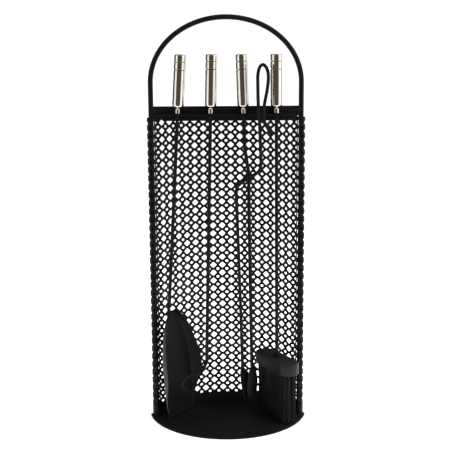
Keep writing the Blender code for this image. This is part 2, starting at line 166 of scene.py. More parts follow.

# %% [markdown]
# ## Finishes
# Five finishes cover the set. The stand, the shafts and the tool ends are powder coated: baked black
# paint with a fine orange-peel surface, a soft sheen, and dust-dull patches. The grips are polished steel
# with hair-fine turning lines round them. Their grooves are dull, and their shade is painted in as a darker
# steel. The brush has a moulded block and stiff bristles.
# Each is a node material on object coordinates, so nothing slides when a tool is lifted.


# %% A helper for node materials
def new_finish(name, colour, roughness, metallic=0.0, specular=0.5):
    """A Principled material with its even values on its own sockets."""
    material = bpy.data.materials.new(name)
    material.use_nodes = True
    shader = material.node_tree.nodes["Principled BSDF"]
    shader.inputs["Base Color"].default_value = (*colour, 1)
    shader.inputs["Roughness"].default_value = roughness
    shader.inputs["Metallic"].default_value = metallic
    shader.inputs["Specular IOR Level"].default_value = specular
    return material, shader


def stretched_noise(material, scale, stretch=(1, 1, 1), detail=3):
    """Noise on object coordinates, drawn out along an axis where its stretch is small."""
    nodes, links = material.node_tree.nodes, material.node_tree.links
    where = nodes.new("ShaderNodeTexCoord")
    mapping = nodes.new("ShaderNodeMapping")
    mapping.inputs["Scale"].default_value = stretch
    noise = nodes.new("ShaderNodeTexNoise")
    noise.inputs["Scale"].default_value = scale
    noise.inputs["Detail"].default_value = detail
    links.new(where.outputs["Object"], mapping.inputs["Vector"])
    links.new(mapping.outputs["Vector"], noise.inputs["Vector"])
    return noise


def vary_colour(material, shader, noise, low, high):
    """Blend between two colours by the noise."""
    nodes, links = material.node_tree.nodes, material.node_tree.links
    blend = nodes.new("ShaderNodeMix")
    blend.data_type = "RGBA"
    blend.inputs["A"].default_value = (*low, 1)
    blend.inputs["B"].default_value = (*high, 1)
    links.new(noise.outputs["Fac"], blend.inputs["Factor"])
    links.new(blend.outputs["Result"], shader.inputs["Base Color"])


def vary_roughness(material, shader, noise, low, high):
    """Let the noise move the roughness between two values."""
    nodes, links = material.node_tree.nodes, material.node_tree.links
    spread = nodes.new("ShaderNodeMapRange")
    spread.inputs["From Min"].default_value = 0.3
    spread.inputs["From Max"].default_value = 0.7
    spread.inputs["To Min"].default_value = low
    spread.inputs["To Max"].default_value = high
    links.new(noise.outputs["Fac"], spread.inputs["Value"])
    links.new(spread.outputs["Result"], shader.inputs["Roughness"])


def raise_surface(material, shader, noise, depth, strength):
    """Bump from the noise; depth is in metres."""
    nodes, links = material.node_tree.nodes, material.node_tree.links
    bump = nodes.new("ShaderNodeBump")
    bump.inputs["Distance"].default_value = depth
    bump.inputs["Strength"].default_value = strength
    links.new(noise.outputs["Fac"], bump.inputs["Height"])
    links.new(bump.outputs["Normal"], shader.inputs["Normal"])


# %% [markdown]
# Powder coat melts into a skin with shallow dimples about a millimetre apart. The bump is fine
# and weak, and a second, broad noise makes some patches duller, as handling and ash do.

# %% Powder coat
powder_coat, shader = new_finish("black_powder_coat", (0.005, 0.005, 0.0046), 0.4, specular=0.14)
patches = stretched_noise(powder_coat, 14, detail=4)
vary_colour(powder_coat, shader, patches, (0.0034, 0.0034, 0.0031), (0.0066, 0.0067, 0.0060))
vary_roughness(powder_coat, shader, patches, 0.36, 0.50)
peel = stretched_noise(powder_coat, 900, detail=2)
raise_surface(powder_coat, shader, peel, 0.00008, 0.35)

# %% [markdown]
# The grips are turned and then polished. The cutter's path stays as hair-fine lines round the grip,
# which are noise squeezed hard along the grip's length. The grooves between cap, ring and grip are duller,
# and painted darker: that darkness is painted shade, standing in for the shade in the gaps between the
# parts.

# %% Polished steel
polished_steel, shader = new_finish("polished_steel", (0.80, 0.77, 0.71), 0.12, metallic=1.0)
turning = stretched_noise(polished_steel, 260, stretch=(0.06, 0.06, 9.0), detail=3)
vary_roughness(polished_steel, shader, turning, 0.07, 0.17)
vary_colour(polished_steel, shader, turning, (0.74, 0.71, 0.65), (0.86, 0.84, 0.79))
raise_surface(polished_steel, shader, turning, 0.00001, 0.12)

# %% Painted shade: dark steel in the grooves
# A dark, dull steel whose darkness is painted shade for the gaps between cap, ring and grip.
groove_shade_steel, shader = new_finish("groove_shade_steel", (0.05, 0.046, 0.04), 0.5, metallic=1.0)
groove_shade_tones = stretched_noise(groove_shade_steel, 500, detail=3)
vary_colour(groove_shade_steel, shader, groove_shade_tones, (0.02, 0.018, 0.015), (0.09, 0.082, 0.07))
vary_roughness(groove_shade_steel, shader, groove_shade_tones, 0.4, 0.65)

# %% Moulded plastic and bristle
moulded_black, shader = new_finish("moulded_black", (0.009, 0.009, 0.0085), 0.45, specular=0.18)
grain = stretched_noise(moulded_black, 1300, detail=2)
raise_surface(moulded_black, shader, grain, 0.00006, 0.4)
smears = stretched_noise(moulded_black, 30, detail=3)
vary_colour(moulded_black, shader, smears, (0.0075, 0.0075, 0.0065), (0.014, 0.014, 0.0125))

bristle_black, shader = new_finish("bristle_black", (0.006, 0.006, 0.0055), 0.5, specular=0.14)
strand_tones = stretched_noise(bristle_black, 420, stretch=(1, 1, 0.03), detail=2)
vary_colour(bristle_black, shader, strand_tones, (0.002, 0.002, 0.0018), (0.009, 0.009, 0.008))
vary_roughness(bristle_black, shader, strand_tones, 0.38, 0.6)
print("finishes:", [m.name for m in (powder_coat, polished_steel, groove_shade_steel, moulded_black,
                                      bristle_black)])

# %% [markdown]
# ## Bench helpers
# Every piece goes through the same few steps: clear the selection, add a primitive, shape it,
# merge what touches, turn the faces outwards, and hand it over to the body that it moves with.
# Lengths are written in millimetres and made metres as the shape is built.


# %% Helpers
def clear_bench():
    if bpy.context.mode != "OBJECT":
        bpy.ops.object.mode_set(mode="OBJECT")
    bpy.ops.object.select_all(action="DESELECT")


def pick(obj):
    clear_bench()
    obj.select_set(True)
    bpy.context.view_layer.objects.active = obj


def apply_modifier(obj, kind, **settings):
    pick(obj)
    modifier = obj.modifiers.new(kind.lower(), kind)
    for name, value in settings.items():
        setattr(modifier, name, value)
    bpy.ops.object.modifier_apply(modifier=modifier.name)


def tidy_faces(obj):
    """Merge doubled points and turn the faces outwards."""
    pick(obj)
    bpy.ops.object.mode_set(mode="EDIT")
    bpy.ops.mesh.select_all(action="SELECT")
    bpy.ops.mesh.remove_doubles(threshold=0.00001)
    bpy.ops.mesh.normals_make_consistent(inside=False)
    bpy.ops.object.mode_set(mode="OBJECT")


def settle(obj, matrix=None):
    """Put the piece in place by moving its mesh, so that its object stays at the origin."""
    pick(obj)
    if matrix is not None:
        obj.matrix_world = matrix @ obj.matrix_world
    bpy.ops.object.transform_apply(location=True, rotation=True, scale=True)


def hand_over(obj, name, finish, body, nodes, smooth_angle=35):
    """Name and finish a piece, attach it to the body that it moves with, and hide the CAD nodes it stands
    for.
    """
    obj.name = name
    obj.data.materials.clear()
    obj.data.materials.append(finish)
    pick(obj)
    bpy.ops.object.shade_smooth_by_angle(angle=math.radians(smooth_angle))
    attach(obj, body)
    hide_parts(*nodes)
    print(f"{name}: {len(obj.data.vertices)} points, rides on {body}")


def turn_piece(profile, hollow, segments=64):
    """Turn a piece as on a lathe: a circle is extruded from ring to ring along (radius, height)."""
    clear_bench()
    radius, height = profile[0]
    fill = "NOTHING" if hollow else "NGON"
    bpy.ops.mesh.primitive_circle_add(vertices=segments, radius=radius * MM, fill_type=fill,
                                      location=(0, 0, height * MM))
    obj = bpy.context.object
    bpy.ops.object.transform_apply(location=True)
    bpy.ops.object.mode_set(mode="EDIT")
    bpy.ops.mesh.select_all(action="SELECT")
    for next_radius, next_height in profile[1:]:
        step = (next_height - height) * MM
        if hollow:
            bpy.ops.mesh.extrude_edges_move(TRANSFORM_OT_translate={"value": (0, 0, step)})
        else:
            bpy.ops.mesh.extrude_region_move(TRANSFORM_OT_translate={"value": (0, 0, step)})
        grow = next_radius / radius
        bpy.ops.transform.resize(value=(grow, grow, 1), center_override=(0, 0, next_height * MM))
        radius, height = next_radius, next_height
    bpy.ops.object.mode_set(mode="OBJECT")
    tidy_faces(obj)
    return obj


def smooth_path(points, steps):
    """A Catmull-Rom curve through given points."""
    points = [Vector(p) for p in points]
    padded = [2 * points[0] - points[1]] + points + [2 * points[-1] - points[-2]]
    path = []
    for a, b, c, d in zip(padded, padded[1:], padded[2:], padded[3:]):
        for i in range(steps):
            t = i / steps
            path.append(0.5 * (2 * b + (c - a) * t + (2 * a - 5 * b + 4 * c - d) * t * t
                               + (3 * b - a - 3 * c + d) * t ** 3))
    return path + [points[-1]]


def bend_bar(path, radius, taper=0):
    """A round bar bent along a path; the last taper points narrow to a blunt tip."""
    clear_bench()
    curve = bpy.data.curves.new("bar", "CURVE")
    curve.dimensions = "3D"
    spline = curve.splines.new("POLY")
    spline.points.add(len(path) - 1)
    for i, (point, place) in enumerate(zip(spline.points, path)):
        point.co = (*(Vector(place) * MM), 1)
        left = len(path) - 1 - i
        point.radius = 1 if left >= taper else 0.25 + 0.75 * math.sqrt(left / taper)
    curve.bevel_depth = radius * MM
    curve.bevel_resolution = 8
    curve.use_fill_caps = True
    obj = bpy.data.objects.new("bar", curve)
    bpy.context.collection.objects.link(obj)
    pick(obj)
    bpy.ops.object.convert(target="MESH")
    tidy_faces(obj)
    return obj


def softened_copy(node, width, segments=2):
    """A copy of a CAD node with its loose triangles merged and its sharp edges rounded."""
    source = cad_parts[node]
    obj = bpy.data.objects.new(node + "_copy", source.data.copy())
    bpy.context.collection.objects.link(obj)
    tidy_faces(obj)
    bpy.ops.object.mode_set(mode="EDIT")
    bpy.ops.mesh.select_all(action="SELECT")
    bpy.ops.mesh.dissolve_limited(angle_limit=math.radians(1))
    bpy.ops.object.mode_set(mode="OBJECT")
    apply_modifier(obj, "BEVEL", width=width * MM, segments=segments, limit_method="ANGLE",
                   angle_limit=math.radians(40), harden_normals=False)
    return obj


# %% [markdown]
# ## The stand's base, arch and rack
# The base is a flat sheet with an upturned lip at the back, pressed and then deburred, so its edges are
# just broken. The model already has its outline, so a copy gets small bevels. The rack's two strips
# are done in the same way.

# %% Base and rack
base = softened_copy("base_plate", 0.35)
hand_over(base, "base_tray", powder_coat, "stand", ["base_plate"])
for node in ("hanger_plate", "hanger_shelf"):
    strip = softened_copy(node, 0.3)
    hand_over(strip, node + "_strip", powder_coat, "stand", [node])

# %% [markdown]
# The arch is one 8 mm bar, bent cold over a former, with two straight legs. A curve with a round bevel
# gives it an even thickness all the way round, which a bent cylinder wouldn't.

# %% Arch
LEG_X, LEG_Y = 117.5, 22.5
LEG_R = 4.0
FOOT_Z, SPRING_Z, RISE = 2.3, 546.0, 99.9
ARCH_STEPS = 72
arch_path = [(-LEG_X, LEG_Y, FOOT_Z), (-LEG_X, LEG_Y, SPRING_Z / 2)]
for i in range(ARCH_STEPS + 1):
    angle = math.pi * (1 - i / ARCH_STEPS)
    arch_path.append((LEG_X * math.cos(angle), LEG_Y, SPRING_Z + RISE * math.sin(angle)))
arch_path += [(LEG_X, LEG_Y, SPRING_Z / 2), (LEG_X, LEG_Y, FOOT_Z)]
arch = bend_bar(arch_path, LEG_R)
hand_over(arch, "arch_bar", powder_coat, "stand", ["carrying_arch"])

# %% [markdown]
# ## The perforated screen
# On the real screen a flat sheet is punched with rows of large diamonds and small round holes, then
# rolled to a curve, and its two side edges are curled round the legs. Boolean cuts would need
# over a thousand cutters on a curved sheet. So the sheet is made the way the factory makes it: one
# cell of the pattern is modelled flat, arrays repeat it, and then the sheet is rolled.

# %% Pattern sizes
PITCH = 14.97
ROW = 13.4
ROWS = 35
COLUMNS = 22
FIRST_COLUMN = -10.52           # where the first column's middle lies, in pitches from the middle
LOWEST_ROW_Z = 27.2
DIAMOND = (5.25, 4.95)
DOT = (2.6, 2.25)
SHEET_TOP, SHEET_BOTTOM = 492.0, 2.3
# a quarter of the diamond, from its side corner to its upper one, as shares of its half sizes
DIAMOND_QUARTER = [(0.98, 0.10), (0.80, 0.31), (0.31, 0.80), (0.10, 0.98)]

# %% [markdown]
# The cell starts as a circle of sixteen points, which become the diamond. Its edge is extruded
# outwards, and the new points go to the cell's border, with a quarter of a small hole in each corner.

# %% One cell
clear_bench()
bpy.ops.mesh.primitive_circle_add(vertices=16, radius=5 * MM, fill_type="NOTHING")
cell = bpy.context.object
bpy.ops.object.mode_set(mode="EDIT")
bpy.ops.mesh.select_all(action="SELECT")
bpy.ops.mesh.extrude_edges_move(TRANSFORM_OT_translate={"value": (0, 0, 0)})
bpy.ops.transform.resize(value=(2, 2, 1), center_override=(0, 0, 0))
bpy.ops.object.mode_set(mode="OBJECT")

DOT_DEGREES = [0, 30, 60, 90]
inner_places, outer_places = [], []
for quarter in range(4):
    corners = DIAMOND_QUARTER if quarter % 2 == 0 else DIAMOND_QUARTER[::-1]
    for (share_x, share_y), turn in zip(corners, DOT_DEGREES):
        sign_x = 1 if quarter in (0, 3) else -1
        sign_y = 1 if quarter in (0, 1) else -1
        inner_places.append((sign_x * share_x * DIAMOND[0], sign_y * share_y * DIAMOND[1]))
        swing = math.radians(turn if quarter % 2 == 0 else 90 - turn)
        outer_places.append((sign_x * (PITCH / 2 - DOT[0] * math.sin(swing)),
                             sign_y * (ROW / 2 - DOT[1] * math.cos(swing))))
for vertex in cell.data.vertices:
    degrees = math.degrees(math.atan2(vertex.co.y, vertex.co.x)) % 360
    k = round(degrees / 22.5) % 16
    places = outer_places if vertex.co.length > 7.5 * MM else inner_places
    vertex.co = Vector((*places[k], 0)) * MM
print("one cell:", len(cell.data.polygons), "faces")

# %% [markdown]
# Two array modifiers lay the cell out in columns and rows, and merge the shared points. The plain
# margins are strips of the same width as a cell, so that they join on point by point. The lowest small
# holes are completed by the bottom margin, and the top margin closes the highest ones.


# %% Sheet laid out flat
def flat_mesh(name, points, faces):
    mesh = bpy.data.meshes.new(name)
    mesh.from_pydata([(x * MM, y * MM, 0) for x, y in points], [], faces)
    obj = bpy.data.objects.new(name, mesh)
    bpy.context.collection.objects.link(obj)
    return obj


def repeat(obj, step, count):
    apply_modifier(obj, "ARRAY", count=count, use_relative_offset=False, use_constant_offset=True,
                   constant_offset_displace=step, use_merge_vertices=True, merge_threshold=0.00001)


repeat(cell, (PITCH * MM, 0, 0), COLUMNS)
repeat(cell, (0, ROW * MM, 0), ROWS)

bottom_margin = LOWEST_ROW_Z - ROW / 2 - SHEET_BOTTOM
arc_left = [(-PITCH / 2 + DOT[0] * math.sin(a), -DOT[1] * math.cos(a))
            for a in (math.radians(d) for d in DOT_DEGREES)]
upper = arc_left + [(-x, y) for x, y in reversed(arc_left)]
lower = [(x, -bottom_margin) for x, _ in upper]
count = len(upper)
quads = [(k, count + k, count + k + 1, k + 1) for k in range(count - 1)]
bottom_strip = flat_mesh("bottom_strip", [(x, y - ROW / 2) for x, y in upper + lower], quads)
repeat(bottom_strip, (PITCH * MM, 0, 0), COLUMNS)

top_margin = SHEET_TOP - (LOWEST_ROW_Z + ROW * (ROWS - 0.5))
line = [(-PITCH / 2, 0), (-PITCH / 2 + DOT[0], 0), (PITCH / 2 - DOT[0], 0), (PITCH / 2, 0)]
points = line + [(x, top_margin) for x, _ in line] + arc_left[:3] + [(-x, y) for x, y in arc_left[:3]]
faces = [(0, 1, 5, 4), (1, 2, 6, 5), (2, 3, 7, 6), (8, 9, 10, 1, 0), (3, 2, 13, 12, 11)]
top_y = ROW * (ROWS - 0.5)
top_strip = flat_mesh("top_strip", [(x, y + top_y) for x, y in points], faces)
repeat(top_strip, (PITCH * MM, 0, 0), COLUMNS)

pick(cell)
bottom_strip.select_set(True)
top_strip.select_set(True)
bpy.ops.object.join()
tidy_faces(cell)

# %% [markdown]
# The rolled edges curve far more tightly than the rest of the sheet, so the outer columns are
# subdivided once before rolling.

# %% Extra points for the rolled edges
EDGE_COLUMNS_FROM = 8.4          # pitches from the middle of the sheet
pick(cell)
bpy.ops.object.mode_set(mode="EDIT")
bpy.ops.mesh.select_mode(type="FACE")
bpy.ops.object.mode_set(mode="OBJECT")
for polygon in cell.data.polygons:
    middle = (polygon.center.x / (PITCH * MM)) + FIRST_COLUMN
    polygon.select = abs(middle) > EDGE_COLUMNS_FROM
bpy.ops.object.mode_set(mode="EDIT")
bpy.ops.mesh.subdivide(number_cuts=1)
bpy.ops.object.mode_set(mode="OBJECT")
print("flat sheet:", len(cell.data.polygons), "faces")

# %% [markdown]
# Rolling maps a distance along the flat sheet to a place on the sheet's plan: a long arc
# behind the legs, a gentle step outwards, and a curl of most of a turn round each leg.

# %% Roll the sheet
SAGITTA = 57.7
SCREEN_R = (LEG_X ** 2 + SAGITTA ** 2) / (2 * SAGITTA)
SCREEN_Y = LEG_Y + SAGITTA - SCREEN_R
HEM_R = 6.2
HEM_RUN = 20.0
HEM_TURN = math.radians(285)
SHEET_T = 1.15
CURVE_STEPS, CURL_STEPS = 240, 90

reach = math.atan2(LEG_X, LEG_Y - SCREEN_Y)
run = HEM_RUN / SCREEN_R
plan = []
for angle in np.linspace(0, reach, CURVE_STEPS):
    t = max(0.0, (angle - reach + run) / run)
    radius = SCREEN_R + HEM_R * t * t * (3 - 2 * t)
    plan.append((radius * math.sin(angle), SCREEN_Y + radius * math.cos(angle)))
for turn in np.linspace(0, HEM_TURN, CURL_STEPS)[1:]:
    angle = math.pi / 2 - reach - turn
    plan.append((LEG_X + HEM_R * math.cos(angle), LEG_Y + HEM_R * math.sin(angle)))
plan = np.array(plan)
along = np.concatenate([[0], np.cumsum(np.hypot(*np.diff(plan, axis=0).T))])
print("flat width of the sheet, mm:", round(2 * along[-1], 1))

for vertex in cell.data.vertices:
    flat = vertex.co.x / MM + FIRST_COLUMN * PITCH
    distance = min(abs(flat), along[-1])
    x = math.copysign(np.interp(distance, along, plan[:, 0]), flat)
    y = np.interp(distance, along, plan[:, 1])
    vertex.co = Vector((x, y, vertex.co.y / MM + LOWEST_ROW_Z)) * MM
tidy_faces(cell)
apply_modifier(cell, "SOLIDIFY", thickness=SHEET_T * MM, offset=0, use_even_offset=False)
hand_over(cell, "punched_screen", powder_coat, "stand", ["perforated_screen"], 50)

# %% [markdown]
# ## Grips
# Each tool has the same grip: a collar that sits on the rack, a tube that narrows to a neck, a ring
# and a cap, with a fine groove between them. They are turned pieces, so each is a circle
# extruded from ring to ring, as a lathe would step along it. Each tool leans a little in its slot.

# %% Where the tools hang
SLOT_Y, HANG_Z = 6.5, 497.6
SLOT_X = {"shovel": -75.0, "poker": -24.0, "tongs": 27.0, "brush": 78.0}
LEAN = {"shovel": (-3.5, 2.2), "poker": (-1.45, 0.0), "tongs": (1.9, 0.0), "brush": (0.28, 0.0)}
ROD_TOP = 85.5
ROD_R = 2.8


def tool_place(tool):
    """The matrix from a tool's own upright frame to where it hangs."""
    right, back = (math.tan(math.radians(a)) for a in LEAN[tool])
    turn = Vector((0, 0, -1)).rotation_difference(Vector((right, back, -1)))
    return Matrix.Translation(Vector((SLOT_X[tool], SLOT_Y, HANG_Z)) * MM) @ turn.to_matrix().to_4x4()


PLACE = {tool: tool_place(tool) for tool in SLOT_X}

# %% Turned profiles
BORE = 3.25
GRIP = 8.9
GROOVE = 7.6
NECK, COLLAR = 4.2, 5.0
# Faces inside these bounds take the dark steel that paints the shade in the grooves.
GROOVE_REACH = 8.3               # faces nearer the axis than this lie in a groove,
GROOVES_FROM, GROOVES_TO = 60, 82.5      # between these heights


def rounded(radius, height, size, start):
    """Four points round an outer corner; start is 'low' or 'high' for which end it rounds."""
    points = []
    for k in range(4):
        a = math.radians(30 * k)
        if start == "low":
            points.append((radius - size + size * math.sin(a), height + size - size * math.cos(a)))
        else:
            points.append((radius - size + size * math.cos(a), height - size + size * math.sin(a)))
    return points


def closed(profile):
    return profile + profile[:1]


def grip_profiles(low):
    """Collar, tube, ring and cap, from the collar's foot upwards."""
    collar_top = low + 1.4
    tube_low = collar_top + 0.3
    collar = closed([(BORE, low)] + rounded(COLLAR, low, 0.4, "low")
                    + rounded(COLLAR, collar_top, 0.4, "high") + [(BORE, collar_top)])
    tube = closed([(BORE, tube_low), (NECK, tube_low), (NECK, 8.4), (4.4, 9.6), (5.4, 10.8), (7.4, 12.4),
                   (8.5, 13.8), (GRIP, 15.6)] + rounded(GRIP, 68.8, 0.25, "high")
                  + [(GROOVE, 68.8), (GROOVE, 69.1), (BORE, 69.1)])
    ring = closed([(BORE, 69.4), (GROOVE, 69.4), (GROOVE, 69.8)] + rounded(GRIP, 69.8, 0.25, "low")
                  + rounded(GRIP, 80.8, 0.25, "high") + [(GROOVE, 80.8), (GROOVE, 81.1), (BORE, 81.1)])
    cap = ([(BORE, 81.4), (GROOVE, 81.4), (GROOVE, 81.8)] + rounded(GRIP, 81.8, 0.25, "low")
           + rounded(GRIP, 91.9, 1.6, "high") + [(4.0, 91.9)])
    return collar, tube, ring, cap


# %% Turn and place the grips
for tool, place in PLACE.items():
    tilt = math.radians(math.hypot(*LEAN[tool]))
    profiles = grip_profiles(0.3 + 5.0 * math.sin(tilt))
    for part, profile in zip(("collar", "handle", "ring", "cap"), profiles):
        piece = turn_piece(profile, hollow=part != "cap")
        in_shaded_groove = [math.hypot(*face.center.xy) < GROOVE_REACH * MM
                     and GROOVES_FROM * MM < face.center.z < GROOVES_TO * MM
                     for face in piece.data.polygons]
        settle(piece, place)
        finish = powder_coat if part == "collar" else polished_steel
        hand_over(piece, f"{tool}_{part}_turned", finish, tool, [f"{tool}_{part}"])
        # The faces in the grooves take the dark steel, which is painted shade.
        if any(in_shaded_groove):
            piece.data.materials.append(groove_shade_steel)
            for face, inside in zip(piece.data.polygons, in_shaded_groove):
                face.material_index = 1 if inside else 0

# %% [markdown]
# ## Shovel
# The pan is pressed from 1.5 mm sheet: a flat floor and a flared wall round the sides and the top.
# A grid has the right layout for it, because its outer columns and rows can stand up as walls, and
# a corner is where both do. Points close to each fold keep the fold's radius small when the
# surface is subdivided. The rod ends behind the floor, where it is spot welded.

# %% Pan shape
PAN_Z, PAN_LENGTH, PAN_T = 178.0, 169.0, 1.5
PAN_YAW, PAN_TILT, PAN_FLARE = math.radians(56), math.radians(6), math.radians(25)
PAN_WIDEST = 92.0
PAN_WALL = [(0, 8), (35, 13.5), (85, 19), (100, 19), (150, 3), (169, 1.5)]
PAN_ROUND = 22.0
PAN_TOP_HALF, PAN_HALF = 12.0, 37.5
PAN_MOUTH_IN = 6.5               # how far the sides come in again towards the mouth
PAN_ROUND_SHARE = 0.84           # how much of the top's half width its round end takes away


def pan_half_width(t):
    if t < PAN_WIDEST:
        rest = 1 - min(t / PAN_ROUND, 1)
        half = PAN_TOP_HALF + (PAN_HALF - PAN_TOP_HALF) * math.sin(math.pi / 2 * t / PAN_WIDEST)
        return half * math.sqrt(1 - PAN_ROUND_SHARE * rest * rest)
    return PAN_HALF - PAN_MOUTH_IN * ((t - PAN_WIDEST) / (PAN_LENGTH - PAN_WIDEST)) ** 2


def pan_wall_height(t):
    for (t0, h0), (t1, h1) in zip(PAN_WALL, PAN_WALL[1:]):
        if t <= t1:
            blend = (t - t0) / (t1 - t0)
            return h0 + (h1 - h0) * blend * blend * (3 - 2 * blend)
    return PAN_WALL[-1][1]


def pan_point(across, wall, t, back):
    """across is -1 to 1 over the floor; wall and back are shares of the wall's height."""
    half = pan_half_width(t)
    height = pan_wall_height(t)
    slope = (pan_half_width(t + 1) - pan_half_width(max(t - 1, 0))) / (1 if t < 1 else 2)
    out = Vector((1, slope, 0)).normalized()
    side = math.copysign(1, across)
    lean = Vector((side * wall * out.x, wall * out.y + back, 0))
    share = max(wall, back)
    if share > 0:
        lean *= share / lean.length
    return (Vector((across * half, -t, 0)) + lean * height * math.sin(PAN_FLARE)
            + Vector((0, 0, share * height * math.cos(PAN_FLARE))))


# %% Press the pan
WALL_STEPS = [1.0, 0.94, 0.55, 0.18]
FLOOR_STEPS = [-0.88, -0.5, 0.0, 0.5, 0.88]
columns = ([(-1, w) for w in WALL_STEPS] + [(a, 0) for a in FLOOR_STEPS]
           + [(1, w) for w in WALL_STEPS[::-1]])
lengths = [0.8, 2, 4, 7, 11, 16, 23, *range(32, 153, 10), 160, 165, 168, 169]
rows = [(0.0, b) for b in WALL_STEPS] + [(t, 0) for t in lengths]
clear_bench()
bpy.ops.mesh.primitive_grid_add(x_subdivisions=len(columns) - 1, y_subdivisions=len(rows) - 1, size=2)
pan = bpy.context.object
for vertex in pan.data.vertices:
    i = round((vertex.co.x + 1) / 2 * (len(columns) - 1))
    j = round((1 - vertex.co.y) / 2 * (len(rows) - 1))
    vertex.co = pan_point(*columns[i], *rows[j]) * MM
apply_modifier(pan, "SOLIDIFY", thickness=PAN_T * MM, offset=-1, use_even_offset=True)
apply_modifier(pan, "SUBSURF", levels=2, render_levels=2)

# %% Set the pan against its rod
width = Vector((math.cos(PAN_YAW), math.sin(PAN_YAW), 0))
open_side = Vector((width.y, -width.x, 0))
upward = Vector((0, 0, 1)) * math.cos(PAN_TILT) - open_side * math.sin(PAN_TILT)
normal = width.cross(upward)
rod_down = PLACE["shovel"].to_3x3() @ Vector((0, 0, -1))
slot_point = PLACE["shovel"].translation / MM
rod_point = slot_point + rod_down * (slot_point.z - PAN_Z) / -rod_down.z
BEHIND = ROD_R + 0.3 + PAN_T
ROD_ALONG_PAN = (6, 0, -42)      # the rod's places along the pan: before it, at its top and at the rod's end
pan_turn = Matrix((width, upward, normal)).transposed().to_4x4()
pan_place = Matrix.Translation((rod_point + normal * BEHIND) * MM) @ pan_turn
settle(pan, pan_place)
hand_over(pan, "pressed_pan", powder_coat, "shovel", ["shovel_pan"], 60)

to_rod = PLACE["shovel"].inverted() @ pan_place
bend = [to_rod @ (Vector((0, y, -BEHIND)) * MM) / MM for y in ROD_ALONG_PAN]
rod = bend_bar([(0, 0, ROD_TOP), (0, 0, bend[0].z + 12)] + smooth_path(bend, 6), ROD_R)
settle(rod, PLACE["shovel"])
hand_over(rod, "shovel_shaft", powder_coat, "shovel", ["shovel_rod"])

# %% [markdown]
# ## Poker
# The poker is one bar. Its end is bent out to the side and back under, to catch a log, and is drawn
# down to a blunt point in the forge. So it is one curve whose radius falls over its last points.

# %% Poker
POKER_LOW = -400.0
hook = [(0, 0, 12), (0, 0, 0), (-4, -4, -9), (-12, -11, -16.5), (-25, -22, -18), (-34, -29, -20.5),
        (-38, -32, -29), (-35, -29, -38), (-26, -23, -46)]
hook_path = smooth_path([(x, y, z + POKER_LOW) for x, y, z in hook], 8)
poker = bend_bar([(0, 0, ROD_TOP), (0, 0, POKER_LOW + 60)] + hook_path, ROD_R, taper=14)
settle(poker, PLACE["poker"])
hand_over(poker, "poker_bar", powder_coat, "poker", ["poker_rod"])

# %% [markdown]
# ## Tongs
# One arm carries the grip. The other is a bent wire that crosses it, runs up past the rack and ends in
# a loop for a fingertip. They turn on a rivet, and each ends in an oval spoon. The arms are
# curves, and a boss is joined on where each turns on the rivet.

# %% Tongs' arms
PIVOT_X, PIVOT_Z = 4.7, -98.0
LOOP_R = 2.6
BOSS_R = 6.5
LOOP_ROOM_Y, LOOP_PIVOT_Y = -14.0, -6.2
JAW_TOP, JAW_H, JAW_HALF, JAW_T = -410.6, 52.0, 11.5, 2.4
JAW_TWIST = math.radians(48)
ARM_END = JAW_TOP + JAW_T / 2 + 0.6


def disc_on_pivot(radius, front, back, dome=0.0):
    """A disc about the pivot's axis, with its front face raised to a dome."""
    clear_bench()
    bpy.ops.mesh.primitive_cylinder_add(vertices=40, radius=radius * MM, depth=(back - front) * MM)
    obj = bpy.context.object
    bpy.ops.object.mode_set(mode="EDIT")
    bpy.ops.mesh.select_all(action="DESELECT")
    shape = bmesh.from_edit_mesh(obj.data)
    for face in shape.faces:
        face.select_set(face.normal.z > 0.9)
    bmesh.update_edit_mesh(obj.data)
    for k in range(3 if dome else 1):
        bpy.ops.mesh.inset(thickness=radius * MM * (0.22 if dome else 0.06), depth=dome * MM / 3 / (k + 1))
    bpy.ops.object.mode_set(mode="OBJECT")
    turn = Matrix.Rotation(math.pi / 2, 4, "X")
    shift = Matrix.Translation(Vector((PIVOT_X, (front + back) / 2, PIVOT_Z)) * MM)
    settle(obj, shift @ turn)
    apply_modifier(obj, "BEVEL", width=0.2 * MM, segments=2, limit_method="ANGLE",
                   angle_limit=math.radians(40))
    return obj


def join_pieces(first, *others):
    pick(first)
    for other in others:
        other.select_set(True)
    bpy.ops.object.join()
    return first


bend = smooth_path([(0, 0, -40), (0.8, 0, -58), (4.4, 0, -88), (4.7, 0, -98), (4.3, 0, -112),
                    (3.1, 0, -157)], 5)
fixed_arm = bend_bar([(0, 0, ROD_TOP)] + bend + [(-0.8, 0, -386), (-1.2, 0, ARM_END)], ROD_R)
fixed_arm = join_pieces(fixed_arm, disc_on_pivot(BOSS_R, -ROD_R, ROD_R))
settle(fixed_arm, PLACE["tongs"])
hand_over(fixed_arm, "tongs_grip_arm", powder_coat, "tongs", ["tongs_fixed_arm"])

front, pivot = LOOP_ROOM_Y, LOOP_PIVOT_Y
tail = [(42, front, -32), (34, front, -17), (31, front, -8), (31, front, 2)]
loop = [(32.4, front, 15), (36.5, front, 33), (39.4, front, 50), (39.6, front, 62), (37, front, 71),
        (32.1, front, 75.5), (27, front, 71.5), (24.2, front, 62), (23.4, front, 50), (23, front, 15),
        (24, front, -10)]
crank = [(24.2, front + 1, -40), (24.4, pivot - 1, -74), (22.5, pivot, -86), (15, pivot, -93),
         (4.7, pivot, -98), (-8, pivot, -106.5), (-14.6, pivot, -114), (-15.8, pivot, -127)]
shank = [(-15.7, pivot + 0.4, -160), (-15.8, -4, -320), (-16.2, -2.5, -385), (-16.4, -2, ARM_END)]
loop_arm = bend_bar(smooth_path(tail + loop + crank, 8) + shank, LOOP_R)
loop_arm = join_pieces(loop_arm, disc_on_pivot(BOSS_R, pivot - LOOP_R, pivot + LOOP_R))
settle(loop_arm, PLACE["tongs"])
